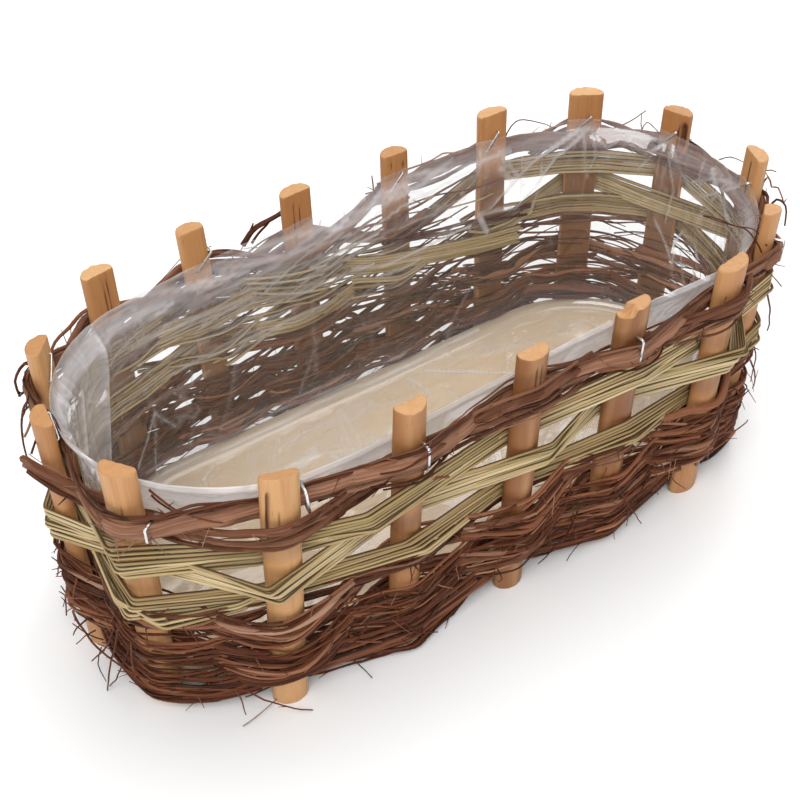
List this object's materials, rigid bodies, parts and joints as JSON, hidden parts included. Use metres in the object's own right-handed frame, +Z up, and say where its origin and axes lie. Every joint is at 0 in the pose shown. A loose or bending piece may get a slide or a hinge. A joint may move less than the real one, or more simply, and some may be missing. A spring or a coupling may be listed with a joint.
{
  "type": "wicker planter basket",
  "caption": "Long planter basket with round ends: half-round stakes nailed to a base board, woven with bark rods, rush and twigs, lined with stapled clear film.",
  "frame": {"origin": "on the ground, under the middle of the basket's outer box", "axes": "+Z up, +X along the length, -Y towards the front"},
  "size_m": [0.3834, 0.174, 0.1557],
  "materials": {
    "stake_wood": "sawn and peeled half-round wood, fine grain, matt",
    "board_wood": "pale plywood, matt",
    "bark": "reddish-brown bark, rough",
    "twigs": "thin brown twigs with bark, rough",
    "rush": "dry straw-coloured rush, fine lengthwise ribs",
    "clear_film": "clear crinkled plastic film",
    "staple_steel": "bright galvanised wire",
    "nail_steel": "plain steel"
  },
  "bodies": {
    "root": {"base_board": "board_wood", "base_nail_01": "nail_steel", "base_nail_02": "nail_steel", "base_nail_03": "nail_steel", "base_nail_04": "nail_steel", "base_nail_05": "nail_steel", "base_nail_06": "nail_steel", "base_nail_07": "nail_steel", "base_nail_08": "nail_steel", "base_nail_09": "nail_steel", "base_nail_10": "nail_steel", "base_nail_11": "nail_steel", "base_nail_12": "nail_steel", "base_nail_13": "nail_steel", "base_nail_14": "nail_steel", "base_nail_15": "nail_steel", "base_nail_16": "nail_steel", "base_nail_17": "nail_steel", "course_1_bark_rod": "bark", "course_2_brown_twigs": "twigs", "course_3_rush": "rush", "course_4_rush": "rush", "course_5_rush": "rush", "course_6_twigs": "twigs", "course_7_twigs": "twigs", "course_8_twigs": "twigs", "liner": "clear_film", "liner_staple_01": "staple_steel", "liner_staple_03": "staple_steel", "liner_staple_05": "staple_steel", "liner_staple_06": "staple_steel", "liner_staple_07": "staple_steel", "liner_staple_08": "staple_steel", "liner_staple_09": "staple_steel", "liner_staple_11": "staple_steel", "liner_staple_13": "staple_steel", "liner_staple_15": "staple_steel", "liner_staple_17": "staple_steel", "rim_staple_08": "staple_steel", "rim_staple_10": "staple_steel", "rim_staple_12": "staple_steel", "rim_staple_14": "staple_steel", "rim_staple_16": "staple_steel", "stake_01": "stake_wood", "stake_02": "stake_wood", "stake_03": "stake_wood", "stake_04": "stake_wood", "stake_05": "stake_wood", "stake_06": "stake_wood", "stake_07": "stake_wood", "stake_08": "stake_wood", "stake_09": "stake_wood", "stake_10": "stake_wood", "stake_11": "stake_wood", "stake_12": "stake_wood", "stake_13": "stake_wood", "stake_14": "stake_wood", "stake_15": "stake_wood", "stake_16": "stake_wood", "stake_17": "stake_wood"}
  },
  "joints": []
}
